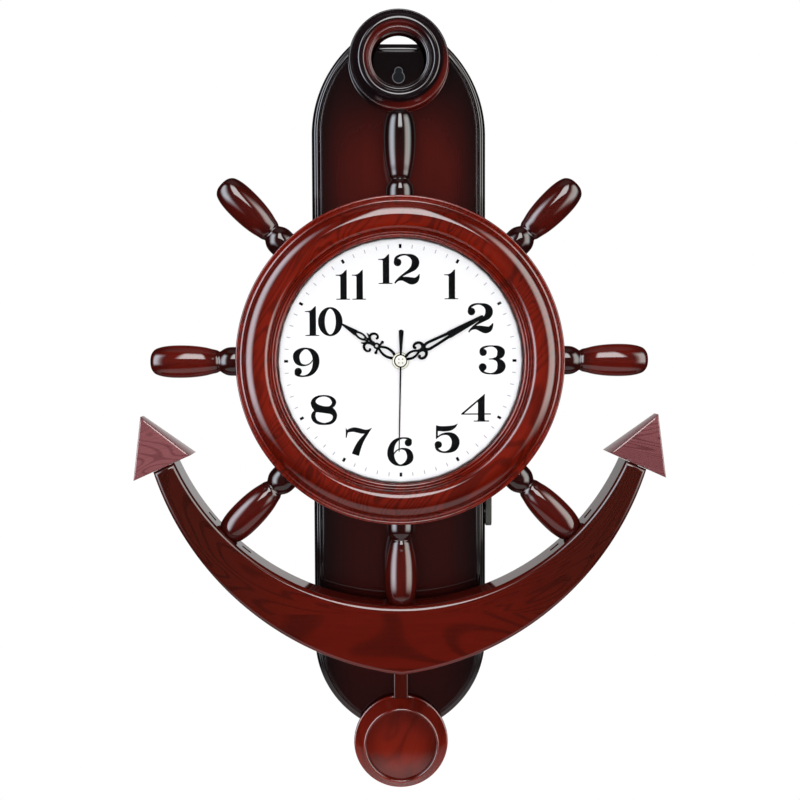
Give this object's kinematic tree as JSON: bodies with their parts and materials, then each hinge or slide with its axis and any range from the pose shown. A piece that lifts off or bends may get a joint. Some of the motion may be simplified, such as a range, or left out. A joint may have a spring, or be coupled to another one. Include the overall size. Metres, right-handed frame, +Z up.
{
  "type": "ship's wheel wall clock",
  "caption": "Wall clock shaped as a ship's wheel on a long board, with a round dial, pierced hands, an anchor crescent below and a swinging pendulum.",
  "frame": {"origin": "on the wall plane behind the clock, where the wall screw's shank sits in the keyhole of the back board", "axes": "+Z up, -Y out from the wall towards the viewer, +X to the viewer's right"},
  "size_m": [0.4866, 0.0775, 0.739],
  "materials": {
    "rosewood_black": "near-black rosewood stain under gloss lacquer",
    "rosewood_dark": "dark rosewood stain under gloss lacquer",
    "rosewood_red": "figured red rosewood under gloss lacquer",
    "mauve_wood": "mauve-brown stain, satin lacquer",
    "beech": "plain dowel",
    "hardboard": "bare pressed board",
    "clear_glass": "clear, polished",
    "white_paint": "satin white with black numerals",
    "black_paint": "satin black",
    "ivory_plastic": "ivory, gloss",
    "white_nylon": "natural white nylon",
    "brass": "plain rolled brass",
    "steel": "bright steel",
    "copper_wire": "enamelled copper wire",
    "dark_plastic": "fine-textured black",
    "circuit_green": "green board",
    "battery_wrap": "plain blue wrap",
    "olive_paint": "dark olive-grey enamel"
  },
  "bodies": {
    "clock": {"back_board": "rosewood_black", "top_ring": "rosewood_black", "wheel_back": "rosewood_dark", "dial_spacer": "rosewood_dark", "handle_right": "rosewood_dark", "handle_upper_right": "rosewood_dark", "handle_top": "rosewood_dark", "handle_upper_left": "rosewood_dark", "handle_left": "rosewood_dark", "handle_lower_left": "rosewood_dark", "handle_bottom": "rosewood_dark", "handle_lower_right": "rosewood_dark", "wheel_rim": "rosewood_red", "crescent": "rosewood_red", "arrowhead_left": "mauve_wood", "arrowhead_right": "mauve_wood", "arrow_dowel_left": "beech", "arrow_dowel_right": "beech", "dial_board": "hardboard", "dial_glass": "clear_glass", "dial": "white_paint", "centre_nut": "brass", "middle_plate": "brass", "stator": "steel", "contact_plus": "steel", "contact_minus": "steel", "pivot_clip": "steel", "stepper_coil": "copper_wire", "pendulum_coil": "copper_wire", "movement_case": "dark_plastic", "movement_cover": "dark_plastic", "circuit_board": "circuit_green", "battery": "battery_wrap", "side_bracket": "olive_paint"},
    "seconds": {"seconds_wheel": "white_nylon", "second_hand": "black_paint", "hand_cap": "ivory_plastic"},
    "minutes": {"centre_wheel": "white_nylon", "minute_hand": "black_paint"},
    "hours": {"hour_wheel": "white_nylon", "hour_hand": "black_paint"},
    "third": {"third_wheel": "white_nylon"},
    "intermediate": {"intermediate_wheel": "white_nylon"},
    "stepper_rotor": {"rotor": "steel"},
    "motion": {"motion_wheel": "white_nylon"},
    "setting": {"set_knob": "white_nylon"},
    "pendulum": {"pendulum_hanger": "white_nylon", "pendulum_magnet": "steel", "pendulum_strap": "brass", "pendulum_rod": "rosewood_dark", "pendulum_bob": "rosewood_dark"}
  },
  "joints": [
    {"name": "second_hand_turn", "type": "hinge", "parent": "clock", "child": "seconds", "pos_m": [0, -0.062, -0.272], "axis": [0, 1, 0], "continuous": true},
    {"name": "minute_hand_turn", "type": "hinge", "parent": "clock", "child": "minutes", "pos_m": [0, -0.0607, -0.272], "axis": [0, 1, 0], "continuous": true},
    {"name": "hour_hand_turn", "type": "hinge", "parent": "clock", "child": "hours", "pos_m": [0, -0.0594, -0.272], "axis": [0, 1, 0], "continuous": true},
    {"name": "third_wheel_turn", "type": "hinge", "parent": "clock", "child": "third", "pos_m": [-0.0144, -0.045, -0.272], "axis": [0, 1, 0], "continuous": true},
    {"name": "intermediate_wheel_turn", "type": "hinge", "parent": "clock", "child": "intermediate", "pos_m": [0.004, -0.041, -0.26507], "axis": [0, 1, 0], "continuous": true},
    {"name": "rotor_turn", "type": "hinge", "parent": "clock", "child": "stepper_rotor", "pos_m": [-0.00065, -0.038, -0.25229], "axis": [0, 1, 0], "continuous": true},
    {"name": "motion_wheel_turn", "type": "hinge", "parent": "clock", "child": "motion", "pos_m": [0.004, -0.049, -0.27893], "axis": [0, 1, 0], "continuous": true},
    {"name": "set_knob_turn", "type": "hinge", "parent": "clock", "child": "setting", "pos_m": [0.01127, -0.033, -0.28313], "axis": [0, 1, 0], "continuous": true},
    {"name": "pendulum_swing", "type": "hinge", "parent": "clock", "child": "pendulum", "pos_m": [0, -0.029, -0.244], "axis": [0, 1, 0], "range_deg": [-5, 5]}
  ],
  "couplings": [
    {"joint": "third_wheel_turn", "follows": "second_hand_turn", "ratio": -0.13333},
    {"joint": "minute_hand_turn", "follows": "second_hand_turn", "ratio": 0.016667},
    {"joint": "motion_wheel_turn", "follows": "second_hand_turn", "ratio": -0.0055556},
    {"joint": "hour_hand_turn", "follows": "second_hand_turn", "ratio": 0.0013889},
    {"joint": "set_knob_turn", "follows": "second_hand_turn", "ratio": 0.013889},
    {"joint": "intermediate_wheel_turn", "follows": "second_hand_turn", "ratio": -4},
    {"joint": "rotor_turn", "follows": "second_hand_turn", "ratio": 30}
  ]
}
